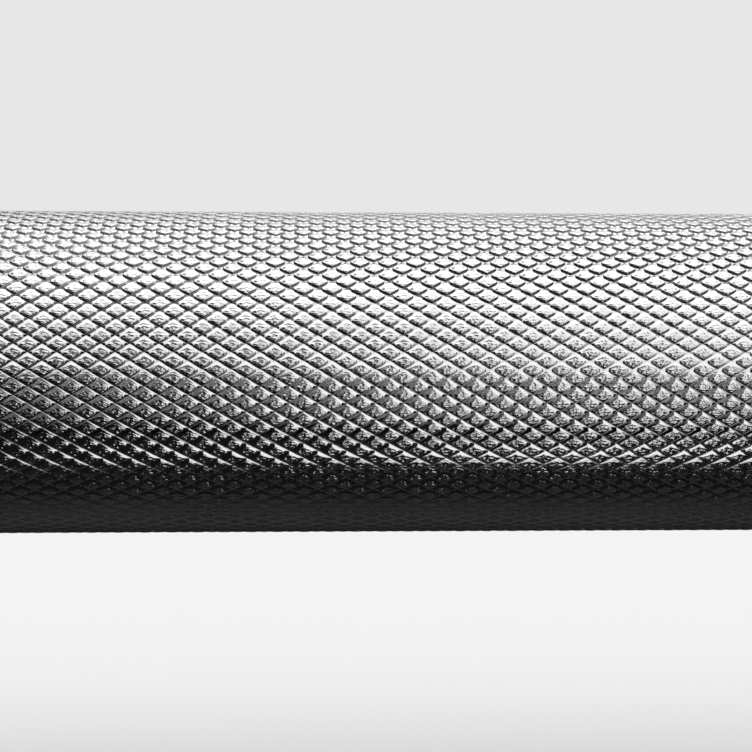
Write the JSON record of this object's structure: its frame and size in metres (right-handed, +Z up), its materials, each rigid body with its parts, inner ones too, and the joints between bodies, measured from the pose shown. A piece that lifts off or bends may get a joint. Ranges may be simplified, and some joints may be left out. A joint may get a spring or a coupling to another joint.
{
  "type": "olympic barbell",
  "caption": "Straight steel weightlifting bar: a diamond-knurled shaft with turning sleeves at its ends, on bushings and needle bearings, that carry weight plates.",
  "frame": {"origin": "the middle of the bar's axis", "axes": "+X along the bar towards its right sleeve, +Z up when the bar lies level"},
  "size_m": [2.2, 0.08, 0.08],
  "materials": {
    "bright_shaft_steel": "bright, knurled grip with rough diamond tops",
    "hard_chrome": "hard chrome, fine turned",
    "bronze": "oiled sintered bronze",
    "bearing_steel": "ground",
    "cage_steel": "stamped, dull",
    "spring_steel": "black oxide",
    "cap_steel": "satin black oxide",
    "black_rubber": "matt"
  },
  "bodies": {
    "shaft": {"shaft": "bright_shaft_steel", "left_inner_thrust_washer": "bearing_steel", "left_outer_thrust_washer": "bearing_steel", "left_shaft_retaining_ring": "spring_steel", "right_inner_thrust_washer": "bearing_steel", "right_outer_thrust_washer": "bearing_steel", "right_shaft_retaining_ring": "spring_steel"},
    "left_sleeve": {"left_sleeve_tube": "hard_chrome", "left_inner_collar": "hard_chrome", "left_dust_seal": "black_rubber", "left_inner_bushing": "bronze", "left_outer_bushing": "bronze", "left_end_cap": "cap_steel", "left_end_cap_seal": "black_rubber", "left_end_cap_retaining_ring": "spring_steel", "left_inner_bearing_cup": "bearing_steel", "left_outer_bearing_cup": "bearing_steel"},
    "left_inner_cage": {"left_inner_bearing_cage": "cage_steel", "left_inner_bearing_needles": "bearing_steel"},
    "left_outer_cage": {"left_outer_bearing_cage": "cage_steel", "left_outer_bearing_needles": "bearing_steel"},
    "right_sleeve": {"right_sleeve_tube": "hard_chrome", "right_inner_collar": "hard_chrome", "right_dust_seal": "black_rubber", "right_inner_bushing": "bronze", "right_outer_bushing": "bronze", "right_end_cap": "cap_steel", "right_end_cap_seal": "black_rubber", "right_end_cap_retaining_ring": "spring_steel", "right_inner_bearing_cup": "bearing_steel", "right_outer_bearing_cup": "bearing_steel"},
    "right_inner_cage": {"right_inner_bearing_cage": "cage_steel", "right_inner_bearing_needles": "bearing_steel"},
    "right_outer_cage": {"right_outer_bearing_cage": "cage_steel", "right_outer_bearing_needles": "bearing_steel"}
  },
  "joints": [
    {"name": "left_sleeve_spin", "type": "hinge", "parent": "shaft", "child": "left_sleeve", "pos_m": [-0.8775, 0, 0], "axis": [1, 0, 0], "continuous": true},
    {"name": "left_inner_cage_spin", "type": "hinge", "parent": "shaft", "child": "left_inner_cage", "pos_m": [-0.7157, 0, 0], "axis": [1, 0, 0], "continuous": true},
    {"name": "left_outer_cage_spin", "type": "hinge", "parent": "shaft", "child": "left_outer_cage", "pos_m": [-1.022, 0, 0], "axis": [1, 0, 0], "continuous": true},
    {"name": "right_sleeve_spin", "type": "hinge", "parent": "shaft", "child": "right_sleeve", "pos_m": [0.8775, 0, 0], "axis": [1, 0, 0], "continuous": true},
    {"name": "right_inner_cage_spin", "type": "hinge", "parent": "shaft", "child": "right_inner_cage", "pos_m": [0.7157, 0, 0], "axis": [1, 0, 0], "continuous": true},
    {"name": "right_outer_cage_spin", "type": "hinge", "parent": "shaft", "child": "right_outer_cage", "pos_m": [1.022, 0, 0], "axis": [1, 0, 0], "continuous": true}
  ],
  "couplings": [
    {"joint": "left_inner_cage_spin", "follows": "left_sleeve_spin", "ratio": 0.53704},
    {"joint": "left_outer_cage_spin", "follows": "left_sleeve_spin", "ratio": 0.53704},
    {"joint": "right_inner_cage_spin", "follows": "right_sleeve_spin", "ratio": 0.53704},
    {"joint": "right_outer_cage_spin", "follows": "right_sleeve_spin", "ratio": 0.53704}
  ]
}
